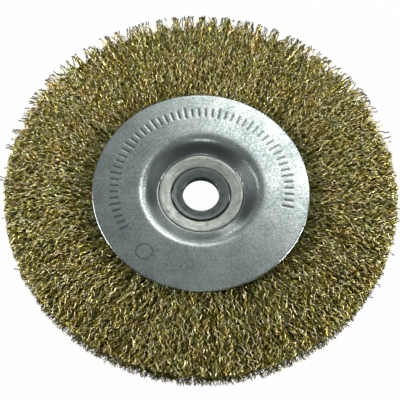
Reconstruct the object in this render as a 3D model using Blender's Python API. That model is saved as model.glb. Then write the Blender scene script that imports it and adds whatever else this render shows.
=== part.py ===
# Crimped wire wheel brush, lying flat: the wheel's axis is +Z and the floor is at Z = 0.
# Two pressed side plates clamp a ring of crimped wires, which are folded round a core ring.
# A swaged ferrule holds the plates together, and a bush in it brings the hole down to the arbor.

import math
import random
from collections import namedtuple

import bmesh
import bpy
from mathutils import Vector

MM = 0.001

# The whole brush
BRUSH_DIAMETER = 150.0 * MM  # over the wire tips
TRIM_WIDTH = 13.0 * MM  # across the two faces of the fill, at its rim
CLEARANCE = 0.3 * MM  # left between two pieces that touch in the real brush

# Side plates, measured on their outer faces
PLATE_DIAMETER = 83.0 * MM
PLATE_SPACING = 10.8 * MM  # across the two flat faces
SHEET = 1.2 * MM
SEAT_MARGIN = 0.6 * MM  # from the rolled end of the ferrule to where the wall of the recess starts
SEAT_RADIUS = 2.2 * MM
WALL_RUN = 6.1 * MM  # how far out the wall of the recess slopes
LIP_RADIUS = 7.0 * MM
FLAT_RING = 6.2 * MM  # from the recess out, before the face falls away so that the edge grips the wires
CROWN_DROP = 0.35 * MM  # how far the face has fallen at the edge
EDGE_ROUND = 0.35 * MM  # on the sheared edge of the sheet

# Hub ferrule, whose ends are rolled over the floors of the two recesses
ARBOR_HOLE = 22.2 * MM
FERRULE_WALL = 1.2 * MM
FLANGE_REACH = 5.0 * MM  # how far the ends are rolled out from the hole
FLANGE_THICKNESS = 0.65 * MM
FLANGE_EDGE = 0.25 * MM
MOUTH_ROUND = 1.3 * MM

# Bush that reduces the arbor hole
BORE = 14.0 * MM
BUSH_LENGTH = 3.6 * MM
BUSH_CHAMFER = 0.5 * MM

# Core ring that the wires are folded round
CORE_WIRE = 3.2 * MM
FOLD = 1.0 * MM  # thickness of the wires inside the core ring
FOLD_SLIT = 1.2 * MM  # gap that the springy fold leaves there

# Wire fill, in which each ridge stands for a row of crimped wires
RIDGES = 96
RIDGE_DEPTH = 1.5 * MM
RIDGE_SPREAD = 0.35  # how much the crests differ, as a share of the ridge depth
CRIMP_SWAY = 0.75 * MM  # how far the crimp takes a wire to each side
CRIMP_PITCH = 11.0 * MM  # two rows of points for each full wave
TIP_SPREAD = 2.0 * MM  # the shortest tip ends this far inside the longest
TIP_NOTCH = 1.8 * MM  # depth between neighbouring tips
TIP_ROWS = 2  # rows of tips between the two faces
MATCHES = 6  # the trimmed pattern repeats this often round the wheel, so that it balances
TIP_SEED = 11

# Facets
TURNED_STEPS = 48
ARC_FACET = 1.2 * MM  # length of the flats that stand for an arc
CORE_SIDES = 8

# Sizes that follow from the ones above
MID_HEIGHT = max(TRIM_WIDTH, PLATE_SPACING) / 2
PLATE_FACE = PLATE_SPACING / 2
SEAT_FACE = SHEET + CLEARANCE / 2
FLANGE_RIM = ARBOR_HOLE / 2 + FLANGE_REACH
SEAT_EDGE = FLANGE_RIM + SEAT_MARGIN
RECESS_EDGE = SEAT_EDGE + WALL_RUN
CROWN_START = RECESS_EDGE + FLAT_RING
FERRULE_OUTER = ARBOR_HOLE / 2 + FERRULE_WALL
FERRULE_END = SEAT_FACE + CLEARANCE + FLANGE_THICKNESS
GROOVE_RADIUS = CORE_WIRE / 2 + CLEARANCE
FOLD_INNER = RECESS_EDGE + SHEET + 2 * CLEARANCE
CORE_RADIUS = FOLD_INNER + FOLD + GROOVE_RADIUS
FILL_CLAMPED = PLATE_FACE - SHEET - CLEARANCE
FILL_MOUTH = FILL_CLAMPED - CROWN_DROP


def clear_scene():
    for obj in list(bpy.data.objects):
        bpy.data.objects.remove(obj, do_unlink=True)


def material(name, colour, metallic, roughness):
    made = bpy.data.materials.new(name)
    made.use_nodes = True
    shader = made.node_tree.nodes["Principled BSDF"]
    shader.inputs["Base Color"].default_value = (*colour, 1.0)
    shader.inputs["Metallic"].default_value = metallic
    shader.inputs["Roughness"].default_value = roughness
    made.diffuse_color = (*colour, 1.0)
    return made


def rounded(corners):
    """Points along a line through (radius, height, rounding) corners, with an arc at each rounded one."""
    points = []
    last = len(corners) - 1
    for index, (x, y, rounding) in enumerate(corners):
        corner = Vector((x, y))
        if rounding == 0:
            points.append(corner)
            continue
        before = Vector(corners[index - 1][:2]) - corner
        after = Vector(corners[index + 1 if index < last else 0][:2]) - corner
        half_angle = before.angle(after) / 2
        start = corner + before.normalized() * rounding / math.tan(half_angle)
        bisector = (before.normalized() + after.normalized()).normalized()
        centre = corner + bisector * rounding / math.sin(half_angle)
        spoke = start - centre
        turn = math.copysign(math.pi - 2 * half_angle, after.cross(before))
        steps = max(1, round(abs(turn) * rounding / ARC_FACET))
        for step in range(steps + 1):
            angle = turn * step / steps
            cos, sin = math.cos(angle), math.sin(angle)
            swung = Vector((spoke.x * cos - spoke.y * sin, spoke.x * sin + spoke.y * cos))
            points.append(centre + swung)
    return points


def offset_line(points, distance):
    """The same open line moved sideways by a constant distance, to the left of its direction."""
    moved = []
    for index, point in enumerate(points):
        incoming = point - points[index - 1] if index else None
        outgoing = points[index + 1] - point if index < len(points) - 1 else None
        normals = [
            Vector((-way.y, way.x)).normalized() for way in (incoming, outgoing) if way is not None
        ]
        middle = sum(normals, Vector((0, 0))).normalized()
        moved.append(point + middle * distance / middle.dot(normals[0]))
    return moved


def finish_object(name, mesh_data, finish, flat_above):
    mesh = bpy.data.meshes.new(name)
    bmesh.ops.recalc_face_normals(mesh_data, faces=mesh_data.faces)
    mesh_data.to_mesh(mesh)
    mesh_data.free()
    mesh.shade_smooth()
    mesh.set_sharp_from_angle(angle=math.radians(flat_above))
    mesh.materials.append(finish)
    obj = bpy.data.objects.new(name, mesh)
    obj.location.z = MID_HEIGHT
    bpy.context.collection.objects.link(obj)
    return obj


def turned(name, outline, finish):
    """A closed (radius, height) outline turned round the wheel's axis."""
    mesh_data = bmesh.new()
    verts = [mesh_data.verts.new((radius, 0, height)) for radius, height in outline]
    edges = [mesh_data.edges.new((verts[k - 1], verts[k])) for k in range(len(verts))]
    bmesh.ops.spin(
        mesh_data,
        geom=verts + edges,
        cent=(0, 0, 0),
        axis=(0, 0, 1),
        angle=2 * math.pi,
        steps=TURNED_STEPS,
        use_merge=True,
    )
    return finish_object(name, mesh_data, finish, flat_above=40)


def side_plate(name, side, finish):
    """A dished plate of constant sheet thickness. side is 1 on top and -1 below."""
    face = rounded(
        [
            (PLATE_DIAMETER / 2, PLATE_FACE - CROWN_DROP, 0),
            (CROWN_START, PLATE_FACE, 0),
            (RECESS_EDGE, PLATE_FACE, LIP_RADIUS),
            (SEAT_EDGE, SEAT_FACE, SEAT_RADIUS),
            (FERRULE_OUTER + CLEARANCE, SEAT_FACE, 0),
        ]
    )
    back = offset_line(face, SHEET)
    rim = [(face[0].x, face[0].y, EDGE_ROUND), (face[0].x, back[0].y, EDGE_ROUND)]
    section = [(point.x, point.y, 0) for point in face[1:] + back[:0:-1]]
    outline = rounded(section + rim[::-1])
    return turned(name, [(point.x, side * point.y) for point in outline], finish)


def hub_ferrule(finish):
    """A tube with both ends rolled outwards. Its mouths are rounded where the sheet turns over."""
    upper = [
        (ARBOR_HOLE / 2, FERRULE_END, MOUTH_ROUND),
        (FLANGE_RIM, FERRULE_END, FLANGE_EDGE),
        (FLANGE_RIM, FERRULE_END - FLANGE_THICKNESS, 0),
        (FERRULE_OUTER, FERRULE_END - FLANGE_THICKNESS, 0),
    ]
    lower = [(radius, -height, rounding) for radius, height, rounding in reversed(upper)]
    return turned("hub_ferrule", rounded(upper + lower), finish)


def arbor_bush(finish):
    """A plain reducing ring with chamfered edges, held in the ferrule."""
    inner, outer = BORE / 2, ARBOR_HOLE / 2 - CLEARANCE
    top, cut = BUSH_LENGTH / 2, BUSH_CHAMFER
    upper = [(inner, top - cut), (inner + cut, top), (outer - cut, top), (outer, top - cut)]
    lower = [(radius, -height) for radius, height in reversed(upper)]
    return turned("arbor_bush", upper + lower, finish)


def core_ring(finish):
    """The round steel wire that the fill is folded on."""
    angles = [2 * math.pi * k / CORE_SIDES for k in range(CORE_SIDES)]
    thickness = CORE_WIRE / 2
    outline = [
        (CORE_RADIUS + thickness * math.cos(angle), thickness * math.sin(angle)) for angle in angles
    ]
    return turned("core_ring", outline, finish)


# A ring of points round the fill. ridge and sway are shares of the ridge depth and the crimp's sway.
# tips is 0 or 1 where the ring has wire tips, for the even or the odd columns being the long ones.
Station = namedtuple("Station", "radius height ridge sway tips", defaults=(0.0, 0.0, None))


def fold_stations():
    """The clamped root of the fill: from the upper plate in to the core ring and out to the lower plate."""
    slit_angle = math.asin(FOLD_SLIT / 2 / GROOVE_RADIUS)
    sweep = math.pi - slit_angle
    angles = [sweep * (1 - 2 * k / CORE_SIDES) for k in range(CORE_SIDES + 1)]
    groove = [
        Station(CORE_RADIUS + GROOVE_RADIUS * math.cos(angle), GROOVE_RADIUS * math.sin(angle))
        for angle in angles
    ]
    upper = [Station(FOLD_INNER, FILL_CLAMPED), Station(FOLD_INNER, FOLD_SLIT / 2)]
    lower = [Station(radius, -height) for radius, height, *_ in reversed(upper)]
    return upper + groove + lower


def face_stations():
    """The free wires on one face, from under the plate out to the rim, flaring as they go."""
    mouth = PLATE_DIAMETER / 2
    rim = BRUSH_DIAMETER / 2
    rows = max(2, round(2 * (rim - mouth) / CRIMP_PITCH))
    stations = [Station(CROWN_START, FILL_CLAMPED), Station(mouth, FILL_MOUTH)]
    for row in range(1, rows + 1):
        share = row / rows
        flare = math.sin(share * math.pi / 2)
        height = FILL_MOUTH + (TRIM_WIDTH / 2 - FILL_MOUTH) * flare
        sway = 1.0 if row % 2 else -1.0
        stations.append(Station(mouth + (rim - mouth) * share, height, 1.0, sway))
    edge = stations.pop()
    return stations + [edge._replace(tips=0)]


def rim_stations():
    """The rows of tips between the faces. The long ones alternate, as neighbouring wires do."""
    return [
        Station(BRUSH_DIAMETER / 2, TRIM_WIDTH * (0.5 - row / (TIP_ROWS + 1)), tips=row % 2)
        for row in range(1, TIP_ROWS + 1)
    ]


def scatter(count, seed):
    """Values from 0 to 1 whose pattern repeats MATCHES times."""
    source = random.Random(seed)
    period = max(2, count // MATCHES)
    values = [source.random() for _ in range(period)]
    values[0] = 0.0
    return [values[k % period] for k in range(count)]


def add_ring(mesh_data, station, columns, side, tip_scatter, crest_scatter):
    ring = []
    for column in range(columns):
        trough = column % 2 == 1
        depth = RIDGE_DEPTH if trough else RIDGE_DEPTH * RIDGE_SPREAD * crest_scatter[column]
        height = station.height - station.ridge * depth
        radius = station.radius
        if station.tips is not None:
            short = column % 2 != station.tips
            radius -= TIP_SPREAD * tip_scatter[column] + (TIP_NOTCH if short else 0.0)
        wobble = 1.0 - RIDGE_SPREAD * crest_scatter[column]
        angle = 2 * math.pi * column / columns + station.sway * wobble * CRIMP_SWAY / radius
        ring.append(
            mesh_data.verts.new((radius * math.cos(angle), radius * math.sin(angle), side * height))
        )
    return ring


def bridge(mesh_data, coarse, fine):
    """Faces between two rings, where the second may have more points than the first."""
    count = len(coarse)
    starts = [index * len(fine) // count for index in range(count + 1)]
    closed = fine + fine[:1]
    for index, vert in enumerate(coarse):
        stretch = closed[starts[index] : starts[index + 1] + 1]
        mesh_data.faces.new([vert, *stretch, coarse[(index + 1) % count]])


def wire_fill(finish):
    """The fill as one solid: folded on the core ring, clamped by the plates, ridged and ragged outside."""
    columns = 2 * RIDGES
    tip_scatter = scatter(columns, TIP_SEED)
    crest_scatter = scatter(columns, TIP_SEED + 1)
    mesh_data = bmesh.new()

    def rings_of(stations, count, side):
        return [
            add_ring(mesh_data, station, count, side, tip_scatter, crest_scatter)
            for station in stations
        ]

    fold = rings_of(fold_stations(), TURNED_STEPS, 1)
    upper = rings_of(face_stations(), columns, 1)
    middle = rings_of(rim_stations(), columns, 1)
    lower = rings_of(face_stations(), columns, -1)
    for first, second in zip(fold, fold[1:]):
        bridge(mesh_data, first, second)
    free = upper + middle + lower[::-1]
    for first, second in zip(free, free[1:]):
        bridge(mesh_data, first, second)
    bridge(mesh_data, fold[0], upper[0])
    bridge(mesh_data, fold[-1], lower[0])
    return finish_object("wire_fill", mesh_data, finish, flat_above=75)


def main():
    clear_scene()
    zinc = material("zinc_plated_steel", (0.56, 0.60, 0.59), 1.0, 0.38)
    bright = material("rolled_steel", (0.62, 0.64, 0.61), 1.0, 0.42)
    dark = material("phosphated_steel", (0.12, 0.14, 0.14), 0.9, 0.45)
    brass = material("brass_coated_wire", (0.42, 0.36, 0.14), 1.0, 0.35)
    plain = material("plain_steel", (0.45, 0.45, 0.44), 1.0, 0.5)
    side_plate("front_plate", 1, zinc)
    side_plate("back_plate", -1, zinc)
    hub_ferrule(bright)
    arbor_bush(dark)
    core_ring(plain)
    wire_fill(brass)


main()
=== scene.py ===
# Looks for the crimped wire wheel brush: separate crimped wires, zinc side plates, rolled ferrule, bush.
import math

import bpy
import numpy as np
from mathutils import Matrix, Vector


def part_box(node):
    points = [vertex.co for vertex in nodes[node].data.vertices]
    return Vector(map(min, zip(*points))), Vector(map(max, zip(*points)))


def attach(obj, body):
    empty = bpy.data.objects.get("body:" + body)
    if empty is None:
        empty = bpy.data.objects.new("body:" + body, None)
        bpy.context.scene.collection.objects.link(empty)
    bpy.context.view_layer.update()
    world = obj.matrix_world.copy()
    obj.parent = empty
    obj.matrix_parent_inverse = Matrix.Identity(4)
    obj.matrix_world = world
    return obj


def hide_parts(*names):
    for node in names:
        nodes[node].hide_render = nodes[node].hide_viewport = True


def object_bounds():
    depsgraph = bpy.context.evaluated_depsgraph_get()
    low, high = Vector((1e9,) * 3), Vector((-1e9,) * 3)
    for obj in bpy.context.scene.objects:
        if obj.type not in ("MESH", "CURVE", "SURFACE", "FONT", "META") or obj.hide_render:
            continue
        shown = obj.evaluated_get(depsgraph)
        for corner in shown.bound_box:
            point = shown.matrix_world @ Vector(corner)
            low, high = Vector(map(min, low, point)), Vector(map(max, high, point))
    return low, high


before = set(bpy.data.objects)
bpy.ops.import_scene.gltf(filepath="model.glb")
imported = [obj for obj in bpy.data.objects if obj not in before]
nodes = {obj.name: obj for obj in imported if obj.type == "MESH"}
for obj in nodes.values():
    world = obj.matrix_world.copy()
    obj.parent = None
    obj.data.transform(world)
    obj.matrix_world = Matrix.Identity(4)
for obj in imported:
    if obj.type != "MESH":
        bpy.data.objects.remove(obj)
cadLow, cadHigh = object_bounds()
mm = 0.001

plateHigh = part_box("front_plate")[1]
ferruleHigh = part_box("hub_ferrule")[1]
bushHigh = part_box("arbor_bush")[1]
wheelRadius = cadHigh.x
wheelTop = cadHigh.z
midHeight = (cadLow.z + cadHigh.z) / 2
plateRadius = plateHigh.x


# Small helpers

def smooth(edge0, edge1, x):
    t = np.clip((x - edge0) / (edge1 - edge0), 0.0, 1.0)
    return t * t * (3 - 2 * t)


def newMesh(name, points, faces, material, rings=0):
    # faces is one array per number of corners; rings is the points in each ring of a bent wire,
    # which is round across and sharp at its bends
    mesh = bpy.data.meshes.new(name)
    mesh.vertices.add(len(points))
    mesh.vertices.foreach_set("co", np.ascontiguousarray(points, dtype=np.float32).ravel())
    loops = np.concatenate([group.ravel() for group in faces]).astype(np.int32)
    corners = np.concatenate([np.full(len(group), group.shape[1]) for group in faces])
    starts = np.concatenate([[0], np.cumsum(corners)[:-1]]).astype(np.int32)
    mesh.loops.add(len(loops))
    mesh.loops.foreach_set("vertex_index", loops)
    mesh.polygons.add(len(corners))
    mesh.polygons.foreach_set("loop_start", starts)
    mesh.update(calc_edges=True)
    mesh.shade_smooth()
    if rings:
        ends = np.zeros(len(mesh.edges) * 2, dtype=np.int32)
        mesh.edges.foreach_get("vertices", ends)
        ends = ends.reshape(-1, 2) // rings
        sharp = mesh.attributes.new("sharp_edge", "BOOLEAN", "EDGE")
        sharp.data.foreach_set("value", ends[:, 0] == ends[:, 1])
    mesh.materials.append(material)
    piece = bpy.data.objects.new(name, mesh)
    bpy.context.scene.collection.objects.link(piece)
    return piece


def addNodes(name):
    material = bpy.data.materials.new(name)
    material.use_nodes = True
    tree = material.node_tree
    return material, tree, tree.nodes["Principled BSDF"]


def node(tree, kind, **values):
    made = tree.nodes.new(kind)
    for key, value in values.items():
        setattr(made, key, value)
    return made


def feed(tree, value, socket):
    # a number or colour is set on the socket itself, and another node's output is linked to it
    if isinstance(value, tuple):
        socket.default_value = (*value, 1.0)
    elif isinstance(value, (int, float)):
        socket.default_value = value
    else:
        tree.links.new(value, socket)


def noise(tree, vector, scale, detail=3.0, roughness=0.55):
    made = node(tree, "ShaderNodeTexNoise")
    made.inputs["Scale"].default_value = scale
    made.inputs["Detail"].default_value = detail
    made.inputs["Roughness"].default_value = roughness
    tree.links.new(vector, made.inputs["Vector"])
    return made.outputs["Fac"]


def ramp(tree, value, stops):
    made = node(tree, "ShaderNodeValToRGB")
    elements = made.color_ramp.elements
    while len(elements) < len(stops):
        elements.new(0.5)
    for element, (place, colour) in zip(elements, stops):
        element.position = place
        element.color = (*colour, 1.0)
    tree.links.new(value, made.inputs["Fac"])
    return made.outputs["Color"]


def spread(tree, value, low, high, toLow, toHigh):
    made = node(tree, "ShaderNodeMapRange")
    for key, number in zip(("From Min", "From Max", "To Min", "To Max"), (low, high, toLow, toHigh)):
        made.inputs[key].default_value = number
    tree.links.new(value, made.inputs["Value"])
    return made.outputs["Result"]


def math2(tree, operation, a, b=None):
    made = node(tree, "ShaderNodeMath", operation=operation)
    feed(tree, a, made.inputs[0])
    if b is not None:
        feed(tree, b, made.inputs[1])
    return made.outputs["Value"]


def times(tree, a, b):
    return math2(tree, "MULTIPLY", a, b)


def blended(tree, a, b, share):
    # this share of a, and the rest of b
    return math2(tree, "ADD", times(tree, a, share), times(tree, b, 1 - share))


def mixColour(tree, factor, a, b, blend="MIX"):
    made = node(tree, "ShaderNodeMix", data_type="RGBA", blend_type=blend)
    feed(tree, factor, made.inputs[0])
    for socket, value in zip([s for s in made.inputs if s.type == "RGBA"], (a, b)):
        feed(tree, value, socket)
    return [s for s in made.outputs if s.type == "RGBA"][0]


def polar(tree):
    # a place, and its radius, angle and height round the wheel's axis
    place = node(tree, "ShaderNodeTexCoord").outputs["Object"]
    split = node(tree, "ShaderNodeSeparateXYZ")
    tree.links.new(place, split.inputs[0])
    x, y, z = split.outputs
    radius = math2(tree, "SQRT", math2(tree, "ADD", times(tree, x, x), times(tree, y, y)))
    angle = math2(tree, "ARCTAN2", y, x)
    return place, radius, angle, z


def vectorOf(tree, x, y, z):
    made = node(tree, "ShaderNodeCombineXYZ")
    for socket, value in zip(made.inputs, (x, y, z)):
        feed(tree, value, socket)
    return made.outputs[0]


def bump(tree, shader, height, strength, distance):
    made = node(tree, "ShaderNodeBump")
    made.inputs["Strength"].default_value = strength
    made.inputs["Distance"].default_value = distance
    tree.links.new(height, made.inputs["Height"])
    tree.links.new(made.outputs["Normal"], shader.inputs["Normal"])


def dress(tree, shader, colour, grain, roughness, metallic=1.0):
    # roughness is a range of the grain, and the roughnesses at its two ends
    tree.links.new(colour, shader.inputs["Base Color"])
    tree.links.new(spread(tree, grain, *roughness), shader.inputs["Roughness"])
    shader.inputs["Metallic"].default_value = metallic


# Materials

wireFinish = {
    "tints": [
        (0.00, (0.20, 0.17, 0.020)),
        (0.28, (0.44, 0.38, 0.045)),
        (0.42, (0.82, 0.73, 0.190)),
        (0.57, (1.00, 0.93, 0.440)),
        (0.94, (0.96, 0.91, 0.700)),
        (1.00, (0.72, 0.48, 0.240)),
    ],
    "patches": [                    # golden, greenish and brown, a few millimetres across
        (0.34, (1.0, 0.80, 0.60)),
        (0.45, (1.0, 0.97, 0.88)),
        (0.56, (1.0, 1.0, 1.0)),
        (0.68, (0.76, 0.90, 0.78)),
    ],
    "patchScale": 190.0,
    "patchShare": 0.65,
    "tarnish": (0.16, 0.14, 0.05),
    "tarnishScale": 620.0,
    "tarnishShare": (0.54, 0.74, 0.0, 0.6),
    # painted shade for the wires deep in the fill
    "depthShade": (0.066, 0.059, 0.004),
    "depthShadeRange": (0.45 * mm, 2.1 * mm),    # where the painted shade starts, and where it is darkest
    "depthShadeShare": 0.90,
    "rimMargin": 1.5 * mm,          # depth for the painted shade is also counted inwards, from this far outside the rim
    "farShadeLess": 0.75 * mm,           # how much less deep a wire counts at the far side, so it gets less painted shade and is lighter
    "nearShadeLess": 0.12 * mm,          # and at the near side
    # painted shade on the outermost tips
    "tipShade": (0.070, 0.066, 0.020),
    "tipShadeRadius": (75.0 * mm, 76.4 * mm),
    "tipShadeShare": 0.90,
    "roughness": (0.3, 0.7, 0.45, 0.60),
}


def brassWireMaterial():
    # each wire is an island of its own, so each gets its own tint
    f = wireFinish
    material, tree, shader = addNodes("brassWire")
    geometry = node(tree, "ShaderNodeNewGeometry")
    place, radius, angle, z = polar(tree)
    tints = ramp(tree, geometry.outputs["Random Per Island"], f["tints"])
    patches = ramp(tree, noise(tree, place, f["patchScale"], 2.0), f["patches"])
    patched = mixColour(tree, f["patchShare"], tints, patches, "MULTIPLY")
    tarnish = noise(tree, place, f["tarnishScale"], 2.0)
    dulled = mixColour(tree, spread(tree, tarnish, *f["tarnishShare"]), patched, f["tarnish"])
    # painted shade darkens what lies deeper in the fill, standing in for the shade between the wires
    share = spread(tree, radius, plateRadius, wheelRadius, 0.0, 1.0)
    flare = math2(tree, "SINE", times(tree, share, math.pi / 2))
    flare = math2(tree, "POWER", flare, wireFill["flarePower"])
    half = spread(tree, flare, 0.0, 1.0, wireFill["mouth"], wheelTop - midHeight)
    level = math2(tree, "ABSOLUTE", math2(tree, "SUBTRACT", z, midHeight))
    inFromRim = math2(tree, "SUBTRACT", wheelRadius + f["rimMargin"], radius)
    depth = math2(tree, "MINIMUM", math2(tree, "SUBTRACT", half, level), inFromRim)
    # the far side, and a little the near side, count as less deep, so they get less painted shade and are
    # lighter
    toFar = math2(tree, "SINE", angle)
    less = math2(tree, "MAXIMUM", times(tree, toFar, f["farShadeLess"]), times(tree, toFar, -f["nearShadeLess"]))
    depth = math2(tree, "SUBTRACT", depth, less)
    depthShade = spread(tree, depth, *f["depthShadeRange"], 0.0, f["depthShadeShare"])
    depthShaded = mixColour(tree, depthShade, dulled, f["depthShade"])
    # painted shade darkens the outermost tips of the wires
    tipShade = spread(tree, radius, *f["tipShadeRadius"], 0.0, f["tipShadeShare"])
    dress(tree, shader, mixColour(tree, tipShade, depthShaded, f["tipShade"]), tarnish, f["roughness"])
    return material


deepFinish = {
    # brass darkened as painted shade, for the wires deep in the fill
    "shadedStrands": [
        (0.36, (0.048, 0.054, 0.008)),
        (0.52, (0.17, 0.175, 0.030)),
        (0.70, (0.42, 0.40, 0.10)),
    ],
    "strandScale": (90.0, 420.0),   # round the wheel, and across the strands
    "roughness": (0.3, 0.7, 0.6, 0.4),
    "metallic": 0.4,
    "specular": 0.1,
    "relief": (0.8, 0.6 * mm),      # strength and height
}


def fillCoreMaterial():
    # the deep wires, seen only between the modelled ones, in brass darkened as painted shade
    f = deepFinish
    material, tree, shader = addNodes("brassWireDeepShaded")
    _, radius, angle, z = polar(tree)
    around, across = f["strandScale"]
    along = vectorOf(tree, times(tree, angle, around), times(tree, radius, across), times(tree, z, across))
    shadedStrands = noise(tree, along, 1.0, 3.0, 0.6)
    dress(tree, shader, ramp(tree, shadedStrands, f["shadedStrands"]), shadedStrands, f["roughness"], f["metallic"])
    shader.inputs["Specular IOR Level"].default_value = f["specular"]
    bump(tree, shader, shadedStrands, *f["relief"])
    return material


zincFinish = {
    "tones": [
        (0.39, (0.34, 0.400, 0.390)),
        (0.50, (0.56, 0.625, 0.61)),
        (0.61, (0.78, 0.820, 0.795)),
    ],
    "grainScale": 1300.0,
    "smudgeScale": 85.0,
    "grainShare": 0.55,             # the rest is smudges
    "recess": (0.22, 0.26, 0.25),
    "recessRadius": (19.5 * mm, 22.0 * mm),    # painted shade is full up to here, and gone from here
    "recessShare": 0.42,
    "grimeAndShade": (0.16, 0.18, 0.18),
    "grimeAndShadeDepth": 0.01 * mm,        # of a stroke, where grime and painted shade start
    "grimeAndShadeShare": 0.85,
    "roughness": (0.36, 0.64, 0.29, 0.20),
    "relief": (0.05, 0.08 * mm),
}


def zincMaterial():
    # spangled zinc plating with a fine cloudy grain and a few scuffs; painted shade in the recess, and grime
    # with painted shade in the stamped strokes
    f, p, s = zincFinish, sidePlate, stampedMarks
    material, tree, shader = addNodes("zincPlated")
    place, radius, _, z = polar(tree)
    grain = noise(tree, place, f["grainScale"], 3.0, 0.62)
    smudges = noise(tree, place, f["smudgeScale"], 4.0, 0.6)
    both = blended(tree, grain, smudges, f["grainShare"])
    # painted shade darkens the recess
    recessShading = spread(tree, radius, *f["recessRadius"], f["recessShare"], 0.0)
    colour = mixColour(tree, recessShading, ramp(tree, both, f["tones"]), f["recess"])
    # grime and painted shade darken the stamped strokes, below the face as the crown leaves it
    out = spread(tree, radius, p["crownStart"], plateRadius, 0.0, 1.0)
    crown = math2(tree, "POWER", out, p["crownPower"])
    level = math2(tree, "SUBTRACT", plateHigh.z, times(tree, crown, p["crown"]))
    sunk = math2(tree, "SUBTRACT", level, z)
    settled = spread(tree, sunk, f["grimeAndShadeDepth"], s["depth"], 0.0, f["grimeAndShadeShare"])
    inBand = math2(tree, "GREATER_THAN", radius, s["radius"] - s["long"])
    onFront = math2(tree, "LESS_THAN", sunk, s["depth"] * 2.0)
    grimeAndShade = times(tree, times(tree, settled, inBand), onFront)
    dress(tree, shader, mixColour(tree, grimeAndShade, colour, f["grimeAndShade"]), both, f["roughness"])
    bump(tree, shader, grain, *f["relief"])
    return material


ferruleFinish = {
    "tones": [
        (0.36, (0.36, 0.380, 0.340)),
        (0.50, (0.68, 0.700, 0.640)),
        (0.62, (0.93, 0.940, 0.870)),
    ],
    "ringScale": (2600.0, 1.4),     # outwards, and round the wheel
    "blotchScale": 420.0,
    "ringShare": 0.6,               # the rest is blotches
    "roughness": (0.35, 0.65, 0.50, 0.34),
    "relief": (0.65, 0.15 * mm),
}


def ferruleMaterial():
    # rings burnished into the metal by the rolling tool
    f = ferruleFinish
    material, tree, shader = addNodes("rolledSteel")
    place, radius, angle, _ = polar(tree)
    outward, around = f["ringScale"]
    along = vectorOf(tree, times(tree, radius, outward), times(tree, angle, around), 0.0)
    rings = noise(tree, along, 1.0, 3.0, 0.6)
    blotch = noise(tree, place, f["blotchScale"], 4.0, 0.65)
    both = blended(tree, rings, blotch, f["ringShare"])
    dress(tree, shader, ramp(tree, both, f["tones"]), both, f["roughness"])
    bump(tree, shader, both, *f["relief"])
    return material


bushFinish = {
    "tones": [(0.38, (0.090, 0.108, 0.105)), (0.62, (0.200, 0.230, 0.224))],
    "turnedScale": 3500.0,
    "spotScale": 800.0,
    "turnedShare": 0.5,             # the rest is spots
    "edgeHighlight": (0.38, 0.415, 0.405),
    "edgeHighlightRadius": (9.0 * mm, 10.4 * mm),
    "edgeHighlightShare": 0.55,
    "roughness": (0.35, 0.65, 0.48, 0.32),
    "metallic": 0.9,
    "relief": (0.3, 0.1 * mm),
}


def bushMaterial():
    # fine turning marks under the phosphate, and a painted highlight along the outer edge
    f = bushFinish
    material, tree, shader = addNodes("phosphatedSteel")
    place, radius, angle, z = polar(tree)
    fine = f["turnedScale"]
    turned = noise(tree, vectorOf(tree, times(tree, radius, fine), times(tree, z, fine), angle), 1.0, 2.0)
    spots = noise(tree, place, f["spotScale"], 3.0)
    both = blended(tree, turned, spots, f["turnedShare"])
    # painted highlight: lighter towards the outer edge
    edgeHighlight = spread(tree, radius, *f["edgeHighlightRadius"], 0.0, f["edgeHighlightShare"])
    colour = mixColour(tree, edgeHighlight, ramp(tree, both, f["tones"]), f["edgeHighlight"])
    dress(tree, shader, colour, both, f["roughness"], f["metallic"])
    bump(tree, shader, both, *f["relief"])
    return material


coreFinish = {
    "tones": [(0.3, (0.30, 0.30, 0.29)), (0.7, (0.52, 0.52, 0.50))],
    "grainScale": 900.0,
    "roughness": (0.3, 0.7, 0.55, 0.4),
}


def coreSteelMaterial():
    f = coreFinish
    material, tree, shader = addNodes("drawnSteel")
    place = node(tree, "ShaderNodeTexCoord").outputs["Object"]
    grain = noise(tree, place, f["grainScale"], 3.0)
    dress(tree, shader, ramp(tree, grain, f["tones"]), grain, f["roughness"])
    return material


# Turned pieces

def latheMesh(name, profile, columns, material, shape=None):
    # a closed (radius, height) outline, anticlockwise, turned round the axis; shape moves the heights
    ring = np.array(profile)
    count = len(ring)
    angles = np.arange(columns) * 2 * math.pi / columns
    radius = np.repeat(ring[None, :, 0], columns, 0)
    height = np.repeat(ring[None, :, 1], columns, 0)
    if shape:
        height = height + shape(radius, np.repeat(angles[:, None], count, 1), height)
    points = np.stack([radius * np.cos(angles)[:, None], radius * np.sin(angles)[:, None], height], 2)
    column = np.arange(columns)[:, None]
    after = (column + 1) % columns
    k = np.arange(count)[None, :]
    j = (k + 1) % count
    quads = np.stack([column * count + k, after * count + k, after * count + j, column * count + j], 2)
    return newMesh(name, points.reshape(-1, 3), [quads.reshape(-1, 4)], material)


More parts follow.
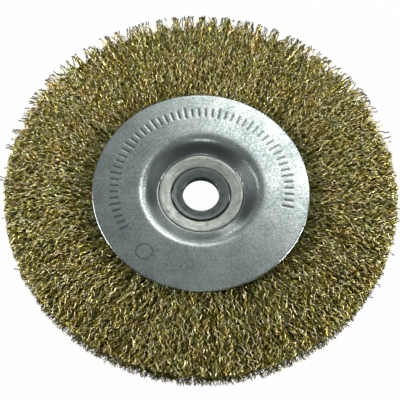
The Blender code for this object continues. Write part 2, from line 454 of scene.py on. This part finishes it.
def filleted(corners, step, longest):
    # points along (radius, height, rounding) corners, arcs at the rounded ones, straights cut up evenly;
    # longest is a length, or a function that gives it for a straight
    points = []
    count = len(corners)
    for index, (x, y, rounding) in enumerate(corners):
        corner = Vector((x, y))
        before = Vector(corners[index - 1][:2]) - corner
        after = Vector(corners[(index + 1) % count][:2]) - corner
        if rounding == 0:
            points.append(corner)
            continue
        half = before.angle(after) / 2
        start = corner + before.normalized() * rounding / math.tan(half)
        centre = corner + (before.normalized() + after.normalized()).normalized() * rounding / math.sin(half)
        turn = math.copysign(math.pi - 2 * half, after.cross(before))
        steps = max(2, round(abs(turn) * rounding / step))
        spoke = start - centre
        for k in range(steps + 1):
            cos, sin = math.cos(turn * k / steps), math.sin(turn * k / steps)
            points.append(centre + Vector((spoke.x * cos - spoke.y * sin, spoke.x * sin + spoke.y * cos)))
    full = []
    for here, there in zip(points, points[1:] + points[:1]):
        limit = longest(here, there) if callable(longest) else longest
        pieces = max(1, math.ceil((there - here).length / limit))
        full += [tuple(here.lerp(there, k / pieces)) for k in range(pieces)]
    return full


sidePlate = {
    "sheet": 1.2 * mm,
    "crown": 0.60 * mm,        # how far the face falls from its highest ring to the edge
    "crownStart": 25.0 * mm,
    "crownPower": 1.15,
    "edgeRound": 0.42 * mm,
    "recessRadius": 22.1 * mm,
    "seatRadius": 16.75 * mm,
    "seatRim": 2.05 * mm,      # above the wheel's middle, flush with the rolled end
    "pocketRadius": 16.35 * mm,
    "seatHeight": 1.35 * mm,   # of the floor that the rolled end lies on
    "lipRound": 7.5 * mm,
    "seatRound": 1.2 * mm,
    "holeRadius": 12.6 * mm,
    "columns": 640,            # eight for each step of the stamped strokes
    "backColumns": 240,
    "faceStep": 0.45 * mm,     # along the arcs of the face
    "edgeStep": 0.16 * mm,     # and of the edge
    "uncut": 1.0,              # longer than any straight, which so stays in one piece
    "stampRow": 0.45 * mm,     # between the rows of points in the stamped band
    "plainRow": 2.0 * mm,
    "flatWithin": 0.01 * mm,   # a row of points no lower than this is on the flat of the face
    "stampWithin": 0.02 * mm,
}

stampedMarks = {
    "radius": 33.4 * mm,
    "short": 3.6 * mm,
    "long": 4.8 * mm,
    "width": 0.9 * mm,
    "depth": 0.06 * mm,
    "edge": 0.45 * mm,
    "firstAngle": -9.0,        # degrees, anticlockwise from +X
    "lastAngle": 211.5,
    "pitch": 4.5,
    "longEvery": 5,
    "ringAngle": 233.0,
    "ringPlace": 33.5 * mm,
    "ringSize": 3.1 * mm,
    "ringWidth": 0.75 * mm,
    "ringDepth": 0.8,          # as a share of the strokes' depth
}


def offsetLine(points, distance):
    # the other side of a sheet that this open line bounds
    line = [Vector(p) for p in points]
    moved = []
    for k, point in enumerate(line):
        ways = ([point - line[k - 1]] if k else []) + ([line[k + 1] - point] if k < len(line) - 1 else [])
        normals = [Vector((-way.y, way.x)).normalized() for way in ways]
        middle = sum(normals, Vector((0, 0))).normalized()
        moved.append(tuple(point + middle * distance / middle.dot(normals[0])))
    return moved


def stampDepth(radius, angle):
    # short and long strokes pressed in along an arc, like a dial's graduation, and one plain ring
    s = stampedMarks
    degrees = np.degrees(angle)
    degrees = np.where(degrees > 360 + s["firstAngle"] - s["pitch"], degrees - 360, degrees)
    index = np.round((degrees - s["firstAngle"]) / s["pitch"])
    last = round((s["lastAngle"] - s["firstAngle"]) / s["pitch"])
    across = np.radians(np.abs(degrees - s["firstAngle"] - index * s["pitch"])) * radius
    length = np.where(index % s["longEvery"] == 0, s["long"], s["short"]) / 2
    along = np.abs(radius - s["radius"])
    half = s["edge"] / 2
    stroke = 1 - smooth(s["width"] / 2 - half, s["width"] / 2 + half, across)
    stroke *= 1 - smooth(length - half, length + half, along)
    stroke = np.where((index >= 0) & (index <= last), stroke, 0.0)
    a = math.radians(s["ringAngle"])
    away = np.hypot(radius * np.cos(angle) - s["ringPlace"] * math.cos(a),
                    radius * np.sin(angle) - s["ringPlace"] * math.sin(a))
    ring = 1 - smooth(0, s["ringWidth"], np.abs(away - s["ringSize"]))
    return -s["depth"] * (stroke + s["ringDepth"] * ring)


def makePlate(name, nodeName, side, material, stamped):
    p = sidePlate
    face = plateHigh.z - midHeight
    hole = (p["holeRadius"], p["seatHeight"], 0)
    outer = [
        (plateRadius, face, 0),
        (p["recessRadius"], face, p["lipRound"]),
        (p["seatRadius"], p["seatRim"], p["seatRound"]),
        (p["pocketRadius"], p["seatRim"], 0),
        (p["pocketRadius"], p["seatHeight"], 0),
        hole,
    ]
    # the face as an open line first, so that the sheet keeps its thickness
    below = [(hole[0], -face, 0), (plateRadius, -face, 0)]
    line = [point for point in filleted(outer + below, p["faceStep"], p["uncut"]) if point[1] > 0]
    back = offsetLine(line, p["sheet"])
    section = [(x, y, 0) for x, y in line[1:]] + [(x, y, 0) for x, y in back[:0:-1]]
    rim = [(plateRadius, back[0][1], p["edgeRound"]), (plateRadius, face, p["edgeRound"])]

    def rowLength(here, there):
        level = min(here.y, there.y) > face - p["flatWithin"]
        return p["stampRow"] if stamped and level else p["plainRow"]

    outline = filleted(section + rim, p["edgeStep"], rowLength)
    turnedUp = [(x, midHeight + side * y) for x, y in outline]
    if side > 0:
        turnedUp = turnedUp[::-1]

    def shape(radius, angle, height):
        fall = np.clip((radius - p["crownStart"]) / (plateRadius - p["crownStart"]), 0, 1) ** p["crownPower"]
        moved = -side * p["crown"] * fall
        if stamped:
            moved = moved + stampDepth(radius, angle) * (height > plateHigh.z - p["stampWithin"])
        return moved

    piece = latheMesh(name, turnedUp, p["columns"] if stamped else p["backColumns"], material, shape)
    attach(piece, "root")
    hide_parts(nodeName)


hubPieces = {
    "arborRadius": 11.1 * mm,
    "tubeRadius": 12.3 * mm,
    "flangeThickness": 0.55 * mm,
    "flangeSunk": 0.2 * mm,    # below the flat end of the solid
    "flangeDish": 0.65 * mm,   # how far the rolled end falls towards the hole
    "flangeEdge": 0.25 * mm,
    "flangeUnder": 0.1 * mm,   # rounding of the edge under it
    "mouthRound": 1.1 * mm,
    "ferruleStep": 0.22 * mm,
    "ferruleColumns": 200,
    "boreRadius": 7.0 * mm,
    "bushGap": 0.15 * mm,
    "bushEdge": 0.3 * mm,
    "bushMouth": 0.25 * mm,    # rounding of the bore's mouth
    "bushDish": 0.25 * mm,     # how far the inner part of its face is sunk
    "bushStepRadius": 9.6 * mm,
    "bushStepRound": 0.8 * mm,
    "bushArcStep": 0.15 * mm,
    "bushColumns": 160,
    "longestRow": 1.0 * mm,
}


def turnedPiece(name, upper, step, columns, material):
    # the lower half of the outline mirrors the upper one
    lower = [(x, -y, rounding) for x, y, rounding in reversed(upper)]
    outline = filleted(upper + lower, step, hubPieces["longestRow"])[::-1]
    return latheMesh(name, [(x, midHeight + y) for x, y in outline], columns, material)


def makeFerrule(material):
    h = hubPieces
    flangeRadius = ferruleHigh.x
    top = ferruleHigh.z - midHeight - h["flangeSunk"]
    dished = top - h["flangeDish"]
    upper = [
        (h["arborRadius"], dished, h["mouthRound"]),
        (flangeRadius, top, h["flangeEdge"]),
        (flangeRadius, top - h["flangeThickness"], h["flangeUnder"]),
        (h["tubeRadius"], dished - h["flangeThickness"], 0),
    ]
    piece = turnedPiece("ferruleRolled", upper, h["ferruleStep"], h["ferruleColumns"], material)
    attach(piece, "root")
    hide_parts("hub_ferrule")


def makeBush(material):
    h = hubPieces
    top = bushHigh.z - midHeight
    outer = h["arborRadius"] - h["bushGap"]
    upper = [
        (h["boreRadius"], top - h["bushDish"], h["bushMouth"]),
        (h["bushStepRadius"], top - h["bushDish"], h["bushStepRound"]),
        (outer, top, h["bushEdge"]),
    ]
    piece = turnedPiece("bushTurned", upper, h["bushArcStep"], h["bushColumns"], material)
    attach(piece, "root")
    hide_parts("arbor_bush")


# Crimped wires

wireFill = {
    "seed": 41,
    "thickness": 0.31 * mm,     # circumscribed circle of the three-sided wire
    "topThickness": 0.33 * mm,
    "strayThickness": 0.50 * mm,
    "crimp": 0.66 * mm,         # height of the crimp wave to each side
    "crimpRange": (0.3, 1.5),   # how much of it each wave has
    "strayCrimp": 0.6,
    "wave": 3.0 * mm,
    "unevenWave": 0.27,         # how far a crest strays from its place, as a share of half a wave
    "planeEach": 1.5,           # radians that a wire's crimps are turned from flat
    "planeWave": 0.6,           # and one crimp from the next
    "root": (38.8 * mm, 41.0 * mm),   # where the wires start, under the plate's edge
    "outerStart": (48 * mm, 60 * mm),
    "rimStart": (67.0 * mm, 69.5 * mm),
    "strayStart": (62 * mm, 68 * mm),
    "mouth": 3.25 * mm,         # half the height of the fill at the plate's edge
    "flarePower": 0.8,
    "tip": 74.5 * mm,
    "strayTip": (75.6 * mm, 77.6 * mm),
    "reach": 1.026,             # no tip is further out than this share of the wheel's radius
    "trim": 0.65 * mm,          # how much longer the wires are where the tips are even
    "fall": 1.5 * mm,           # and how much shorter they get where the tips are ragged
    "raggedNear": 0.25,
    "raggedFar": 0.95,          # more at the far side
    "raggedFull": 0.85,         # sine of the angle from which it is all there
    "tipSpread": 0.75 * mm,
    "tipCut": (-2.4, 1.8),      # the spread's ends
    "tufts": 150,
    "tuftLength": 0.9 * mm,
    "tuftPoint": 1.3,           # how much shorter a wire is for each length from its tuft's middle
    "tuftStrength": 1.4,
    "tuftPull": 0.22,
    "tuftStart": 64 * mm,
    "tuftPower": 1.2,
    "tuftLean": 1.2 * mm,       # sideways, at the tips
    "farCloser": 0.2,           # radians that wires are moved towards the far side
    "lean": 0.15,               # radians round the wheel between root and tip
    "drift": 1.1 * mm,          # slow sideways wander of a wire
    "driftBack": 0.6,           # share of the drift that comes back halfway
    "lift": 0.50 * mm,          # how far a wire dips below its layer, to come up again
    "liftWaves": 3.4,
    "farLift": 0.8,             # share of the dip that the far wires lack and the near ones have more
    "strayRise": 0.24 * mm,     # above the fill's face
    "strayDensity": 0.05,       # of loose wires at the near side, against the far one
    "strayEdge": (0.1, 0.8),    # sine of the angle between which they get many
    "rimPower": 0.72,           # under 1, the rim's wires are closest near the back
}

# how many wires, where they start, their depths under the fill's face, which face, seed and thickness
wireLayers = {
    "wiresFrontTop": (600, "root", (0.30 * mm, 0.75 * mm), 1, 101, "topThickness"),
    "wiresFrontTopOuter": (560, "outerStart", (0.30 * mm, 0.75 * mm), 1, 103, "topThickness"),
    "wiresFrontSecond": (1000, "root", (0.7 * mm, 1.5 * mm), 1, 102, "thickness"),
    "wiresFrontSecondOuter": (960, "outerStart", (0.7 * mm, 1.5 * mm), 1, 104, "thickness"),
    "wiresFrontThird": (760, "root", (1.5 * mm, 2.5 * mm), 1, 109, "thickness"),
    "wiresFrontThirdOuter": (650, "outerStart", (1.5 * mm, 2.5 * mm), 1, 110, "thickness"),
    "wiresBackA": (500, "root", (0.4 * mm, 1.8 * mm), -1, 105, "thickness"),
    "wiresBackOuter": (450, "outerStart", (0.4 * mm, 1.8 * mm), -1, 106, "thickness"),
    "wiresRim": (3750, "rimStart", None, 1, 107, "thickness"),
    "wiresStray": (350, "strayStart", (0.0, 1.6 * mm), 1, 108, "strayThickness"),
}


def envelope(radius):
    # half the height of the fill at a radius, as in the frame: it flares from the plates to the rim
    w = wireFill
    share = np.clip((radius - plateRadius) / (wheelRadius - plateRadius), 0, 1)
    half = wheelTop - midHeight
    return w["mouth"] + (half - w["mouth"]) * np.sin(share * math.pi / 2) ** w["flarePower"]


def tuftTable():
    # angle, length, strength of pull and lean of each tuft that the tips gather in
    w = wireFill
    source = np.random.default_rng(w["seed"])
    count = w["tufts"]
    centres = (np.arange(count) + source.uniform(-0.5, 0.5, count)) * 2 * math.pi / count
    length = source.uniform(-1, 1, count)
    strength = source.uniform(0.0, w["tuftStrength"], count)
    return centres, length, strength, source.uniform(-1, 1, count)


def wrapped(angle):
    return (angle + math.pi) % (2 * math.pi) - math.pi


def evenAngles(source, count):
    # nearly even, a little closer at the far side
    angle = (np.arange(count) + source.uniform(-0.5, 0.5, count)) * 2 * math.pi / count
    return angle + wireFill["farCloser"] * np.cos(angle)


def strayAngles(source, count):
    # loose wires stand out most along the far edge
    grid = np.linspace(0, 2 * math.pi, 721)
    density = wireFill["strayDensity"] + smooth(*wireFill["strayEdge"], np.sin(grid))
    total = np.concatenate([[0], np.cumsum(density)[:-1]])
    return np.interp(source.random(count), total / total[-1], grid)


def crimps(source, count, halfWaves, calm):
    # each wire's crests and two ends: their share of the way from root to tip, and their swing
    w = wireFill
    crest = np.arange(halfWaves)
    uneven = source.uniform(-1, 1, (count, halfWaves)) * w["unevenWave"]
    share = np.zeros((count, halfWaves + 2))
    share[:, 1:-1] = (crest + 0.5 + uneven) / halfWaves
    share[:, -1] = 1.0
    swing = source.uniform(*w["crimpRange"], (count, halfWaves)) * w["crimp"] * calm
    wave = np.zeros((count, halfWaves + 2))
    wave[:, 1:-1] = np.where(crest % 2 == 0, 1.0, -1.0) * swing
    wave *= np.where(source.random(count) < 0.5, -1.0, 1.0)[:, None]
    return share, wave


def makeWires(name, count, starts, layer, seed, material, thickness, stray=False):
    # starts is the range of radii where a wire leaves the fill; layer gives the height of each wire's
    # middle line from half the height of the fill along it
    w = wireFill
    source = np.random.default_rng(seed)
    angle = (strayAngles if stray else evenAngles)(source, count)
    centres, tuftLong, tuftStrength, tuftLean = tuftTable()
    tuft = np.argmin(np.abs(wrapped(angle[:, None] - centres[None, :])), 1)
    fromTuft = wrapped(centres[tuft] - angle)
    ragged = w["raggedNear"] + w["raggedFar"] * smooth(0.0, w["raggedFull"], np.sin(angle))

    # the tips, even at the near side and in pointed tufts at the far one
    start = source.uniform(*starts, count)
    uneven = tuftLong[tuft] * w["tuftLength"] + source.normal(0, 1, count).clip(*w["tipCut"]) * w["tipSpread"]
    uneven -= np.abs(fromTuft) * wheelRadius * w["tuftPoint"] * tuftStrength[tuft]
    tip = w["tip"] + w["trim"] + ragged * (uneven - w["fall"])
    if stray:
        tip = source.uniform(*w["strayTip"], count)
    tip = np.minimum(tip, wheelRadius * w["reach"])

    # the crimps along each wire, and the plane that each is bent in
    halfWaves = max(2, round(2 * (w["tip"] - (starts[0] + starts[1]) / 2) / w["wave"]))
    share, wave = crimps(source, count, halfWaves, w["strayCrimp"] if stray else 1)
    radius = start[:, None] + (tip - start)[:, None] * share
    plane = source.uniform(-w["planeEach"], w["planeEach"], (count, 1))
    plane = plane + source.uniform(-w["planeWave"], w["planeWave"], (count, halfWaves))
    plane = np.pad(plane, ((0, 0), (1, 1)), mode="edge")

    # sideways: the wire leans, drifts, and is pulled to its tuft near the tips
    whole = (w["tip"] - start)[:, None] / (w["tip"] - w["root"][0])
    lean = source.normal(0, w["lean"], count)[:, None] * (1 - share) * whole
    toTuft = fromTuft * w["tuftPull"] * tuftStrength[tuft] * ragged
    toTuft += tuftLean[tuft] * w["tuftLean"] / wheelRadius * ragged
    pull = toTuft[:, None] * smooth(w["tuftStart"], wheelRadius, radius) ** w["tuftPower"]
    one, two = source.normal(0, w["drift"], (2, count, 1)) * whole
    drift = one * np.sin(share * math.pi) + two * np.sin(share * math.pi * 2) * w["driftBack"]
    turned = angle[:, None] + lean + pull
    side = wave * np.cos(plane) + drift

    # heights, kept within the fill
    half = envelope(radius)
    middle = layer(source, half)
    phase = source.uniform(0, 2 * math.pi, (count, 1))
    dip = w["lift"] * (1 + np.sin(share * math.pi * 2 * w["liftWaves"] * whole + phase)) / 2
    dip = dip * (1 - w["farLift"] * np.sin(angle)[:, None])
    height = middle - np.sign(middle[:, :1]) * dip + wave * np.sin(plane)
    limit = half - w["thickness"] / 2
    if stray:
        limit = limit + w["strayRise"] * (height > 0)
    height = np.clip(height, -limit, limit)
    points = np.stack([
        radius * np.cos(turned) - side * np.sin(turned),
        radius * np.sin(turned) + side * np.cos(turned),
        midHeight + height,
    ], 2)
    tubes(name, points, source, material, thickness)


def tubes(name, points, source, material, thickness):
    # three-sided closed tubes along many lines of as many points each
    count, steps, _ = points.shape
    along = np.empty_like(points)
    along[:, 1:-1] = points[:, 2:] - points[:, :-2]
    along[:, 0] = points[:, 1] - points[:, 0]
    along[:, -1] = points[:, -1] - points[:, -2]
    along /= np.linalg.norm(along, axis=2, keepdims=True)
    side = np.cross(along, np.array([0.0, 0.0, 1.0]))
    side /= np.linalg.norm(side, axis=2, keepdims=True)
    above = np.cross(side, along)
    turn = source.uniform(0, 2 * math.pi, count)
    rings = []
    for corner in range(3):
        a = (turn + corner * 2 * math.pi / 3)[:, None, None]
        rings.append(points + thickness / 2 * (np.cos(a) * side + np.sin(a) * above))
    verts = np.stack(rings, 2).reshape(-1, 3)
    firstRing = (np.arange(count) * steps * 3)[:, None]
    lastRing = firstRing + (steps - 1) * 3
    base = firstRing[:, :, None] + (np.arange(steps - 1) * 3)[None, :, None]
    corner = np.arange(3)[None, None, :]
    after = (corner + 1) % 3
    quads = np.stack([base + corner, base + after, base + 3 + after, base + 3 + corner], 3).reshape(-1, 4)
    caps = np.concatenate([firstRing + np.array([[2, 1, 0]]), lastRing + np.array([[0, 1, 2]])])
    piece = newMesh(name, verts, [quads, caps], material, rings=3)
    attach(piece, "root")
    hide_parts("wire_fill")


def layerBetween(shallow, deep, side):
    # depth of a wire's middle line below the face of the fill, on the front or on the back
    def layer(source, half):
        return side * (half - source.uniform(shallow, deep, (len(half), 1)))
    return layer


def rimLayer(source, half):
    # closest near the back, which has the fewest wires of its own
    return half * (1 - 2 * source.uniform(0.0, 1.0, (len(half), 1)) ** wireFill["rimPower"])


deepFill = {
    "columns": 240,
    "rows": 18,
    "rimRows": 8,
    "inset": 2.5 * mm,          # below the front face of the fill
    "backInset": 1.3 * mm,
    "rimInset": 2.5 * mm,
    "underPlate": 2.0 * mm,     # how far its faces go in under the plate
    "innerEdge": 3.0 * mm,      # and how much further in they meet
    "freeOver": 4.0 * mm,       # outside the plate, until the ridges are full
    "faceShare": 0.9,           # of the rim's half height, above which a point is on a face
    "ridges": (0.35 * mm, 0.25 * mm),       # heights of a whole ridge and of its roughness
    "edgeRidges": (1.1 * mm, 0.8 * mm),
    "sway": 0.4 * mm,
    "swayPhase": 3.0,
}


def makeDeepFill(material):
    # what lies under the outer wires: the same fill, smaller, with ridges that sway as the crimps do
    w, d = wireFill, deepFill
    source = np.random.default_rng(w["seed"] + 7)
    columns = d["columns"]
    radii = np.linspace(plateRadius - d["underPlate"], w["tip"] - d["rimInset"], d["rows"])
    rimHalf = envelope(radii[-1]) - d["inset"]
    steps = d["rimRows"] + 1
    upper = [(r, envelope(r) - d["inset"]) for r in radii]
    lower = [(r, d["backInset"] - envelope(r)) for r in radii[::-1]]
    rim = [(radii[-1], rimHalf + (lower[0][1] - rimHalf) * (k + 1) / steps) for k in range(d["rimRows"])]
    inner = [(radii[0] - d["innerEdge"], 0.0)]
    line = np.array(upper + rim + lower + inner)
    angle = np.arange(columns) * 2 * math.pi / columns
    strand = source.uniform(-1, 1, columns)[:, None]
    radius = np.repeat(line[None, :, 0], columns, 0)
    height = np.repeat(line[None, :, 1], columns, 0)
    free = smooth(plateRadius, plateRadius + d["freeOver"], radius)
    rough = source.uniform(-1, 1, radius.shape)
    ridge = d["ridges"][0] * strand + d["ridges"][1] * rough
    edgeRidge = d["edgeRidges"][0] * strand + d["edgeRidges"][1] * rough
    height = height + np.sign(height) * free * ridge * (np.abs(height) > rimHalf * d["faceShare"])
    radius = radius + edgeRidge * (radius > radii[-2])
    sway = d["sway"] * np.sin(radius * 2 * math.pi / w["wave"] + strand * d["swayPhase"]) * free / radius
    turned = angle[:, None] + sway
    points = np.stack([radius * np.cos(turned), radius * np.sin(turned), midHeight + height], 2)
    count = len(line)
    column = np.arange(columns)[:, None]
    beside = (column + 1) % columns
    k = np.arange(count)[None, :]
    after = (k + 1) % count
    here, there = column * count, beside * count
    quads = np.stack([here + k, here + after, there + after, there + k], 2)
    piece = newMesh("wiresDeep", points.reshape(-1, 3), [quads.reshape(-1, 4)], material)
    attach(piece, "root")
    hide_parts("wire_fill")


# Stage, light and camera

cameraView = {
    "elevation": 64.5,
    "roll": 3.0,
    "distance": 0.61,
    "picture": 400.0,          # pixels across the square picture
    "focal": 1605.6,           # pixels
    "plateAt": (201.25, 189.5),
    "sensor": 36.0,
    "clip": (0.01, 20),
}


def makeCamera():
    v = cameraView
    data = bpy.data.cameras.new("photoCamera")
    data.sensor_width = v["sensor"]
    data.lens = v["focal"] * v["sensor"] / v["picture"]
    data.clip_start, data.clip_end = v["clip"]
    camera = bpy.data.objects.new("photoCamera", data)
    bpy.context.scene.collection.objects.link(camera)
    tilt = math.radians(v["elevation"])
    back = Vector((0, -math.cos(tilt), math.sin(tilt)))
    right = Vector((1, 0, 0))
    up = back.cross(right)
    roll = math.radians(v["roll"])
    turnedRight = right * math.cos(roll) + up * math.sin(roll)
    turnedUp = back.cross(turnedRight)
    centre = Vector((0, 0, plateHigh.z))
    scale = v["distance"] / v["focal"]
    offRight = (v["plateAt"][0] - v["picture"] / 2) * scale
    offUp = (v["picture"] / 2 - v["plateAt"][1]) * scale
    aim = centre - turnedRight * offRight - turnedUp * offUp
    spot = aim + back * v["distance"]
    turn = Matrix((turnedRight, turnedUp, back)).transposed().to_4x4()
    camera.matrix_world = Matrix.Translation(spot) @ turn
    bpy.context.scene.camera = camera


studio = {
    "skyAxis": (0.03, 0.43, 0.90),     # where the plate mirrors the sky to the camera
    "skyTones": [                      # from square to that axis, to along it
        (0.0, (0.35, 0.34, 0.32)),
        (0.12, (0.028, 0.034, 0.032)),
        (0.46, (0.035, 0.042, 0.040)),
        (0.64, (0.105, 0.119, 0.117)),
        (0.84, (0.144, 0.166, 0.162)),
        (0.97, (0.222, 0.248, 0.244)),
    ],
    "floorSize": 6.0,
    "floorColour": (0.9, 0.9, 0.9),
    "floorRoughness": 0.9,
    "floorSpecular": 0.1,
    "floorGlow": 0.98,                 # for the camera only
}

# place, size, power, and the way that the first side runs
studioLamps = {
    "windowNear": ((0.0923, 0.3699, 0.5358), (0.13, 0.34), 0.29, (0.69, 0.72, 0.0)),
    "windowFar": ((0.2029, 0.4374, 0.4418), (0.19, 0.34), 0.16, (0.69, 0.72, 0.0)),
    "backLamp": ((-0.16, 0.42, 0.10), (0.10, 0.10), 0.03, (1, 0, 0)),
    "backPanel": ((0.03, 0.38, 0.16), (0.56, 0.26), 0.16, (1, 0, 0)),
    "sideLampRight": ((0.44, -0.05, 0.07), (0.26, 0.09), 2.8, (0, 1, 0)),
    "sideLampLeft": ((-0.44, -0.01, 0.10), (0.26, 0.09), 2.3, (0, 1, 0)),
    "rightLamp": ((0.435, 0.315, 0.525), (0.09, 0.09), 0.07, (1, 0, 0)),
    "topLamp": ((0.0, -0.20, 0.87), (0.12, 0.12), 0.14, (1, 0, 0)),
    "leftStrip": ((-0.57, 0.16, 0.72), (0.50, 0.06), 0.22, (-0.25, -0.53, -0.08)),
}


def areaLight(name, place, size, power, across):
    # faces the brush
    data = bpy.data.lights.new(name, "AREA")
    data.shape = "RECTANGLE"
    data.size, data.size_y = size
    data.energy = power
    lamp = bpy.data.objects.new(name, data)
    bpy.context.scene.collection.objects.link(lamp)
    back = Vector(place).normalized()
    first = Vector(across)
    first = (first - back * first.dot(back)).normalized()
    second = back.cross(first)
    lamp.matrix_world = Matrix.Translation(place) @ Matrix((first, second, back)).transposed().to_4x4()


def makeSky():
    world = bpy.data.worlds.new("studio")
    bpy.context.scene.world = world
    world.use_nodes = True
    tree = world.node_tree
    background = tree.nodes["Background"]
    direction = node(tree, "ShaderNodeTexCoord").outputs["Generated"]
    toward = node(tree, "ShaderNodeVectorMath", operation="DOT_PRODUCT")
    tree.links.new(direction, toward.inputs[0])
    toward.inputs[1].default_value = studio["skyAxis"]
    shade = ramp(tree, toward.outputs["Value"], studio["skyTones"])
    tree.links.new(shade, background.inputs["Color"])
    background.inputs["Strength"].default_value = 1.0


def makeFloor():
    # white to the camera, and plain diffuse to everything else, so it keeps the brush's shadow
    s = studio
    material, tree, shader = addNodes("whiteFloor")
    shader.inputs["Base Color"].default_value = (*s["floorColour"], 1)
    shader.inputs["Roughness"].default_value = s["floorRoughness"]
    shader.inputs["Specular IOR Level"].default_value = s["floorSpecular"]
    glow = node(tree, "ShaderNodeEmission")
    glow.inputs["Strength"].default_value = 1.0
    mix = node(tree, "ShaderNodeMixShader")
    path = node(tree, "ShaderNodeLightPath")
    tree.links.new(times(tree, path.outputs["Is Camera Ray"], s["floorGlow"]), mix.inputs[0])
    tree.links.new(shader.outputs[0], mix.inputs[1])
    tree.links.new(glow.outputs[0], mix.inputs[2])
    tree.links.new(mix.outputs[0], tree.nodes["Material Output"].inputs["Surface"])
    half = s["floorSize"] / 2
    corners = np.array([(-half, -half, 0), (half, -half, 0), (half, half, 0), (-half, half, 0)])
    floor = newMesh("floor", corners + np.array([0, 0, cadLow.z]), [np.array([[0, 1, 2, 3]])], material)


# The brush is put together here

print("camera and studio")
makeCamera()
makeSky()
for name, lamp in studioLamps.items():
    areaLight(name, *lamp)
makeFloor()
bpy.context.scene.view_settings.view_transform = "Standard"

print("plates and hub")
zinc = zincMaterial()
makePlate("plateFront", "front_plate", 1, zinc, True)
makePlate("plateBack", "back_plate", -1, zinc, False)
makeFerrule(ferruleMaterial())
makeBush(bushMaterial())
coreRing = nodes["core_ring"]
coreRing.data.materials.clear()
coreRing.data.materials.append(coreSteelMaterial())

print("wires")
brass = brassWireMaterial()
for name, (count, starts, depths, side, seed, thickness) in wireLayers.items():
    layer = layerBetween(*depths, side) if depths else rimLayer
    makeWires(name, count, wireFill[starts], layer, seed, brass, wireFill[thickness], name == "wiresStray")
makeDeepFill(fillCoreMaterial())

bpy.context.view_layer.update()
counts = {made.name: sum(len(p.vertices) - 2 for p in made.data.polygons)
          for made in bpy.data.objects if made.type == "MESH" and made.name not in nodes}
print("triangles", counts, sum(counts.values()))
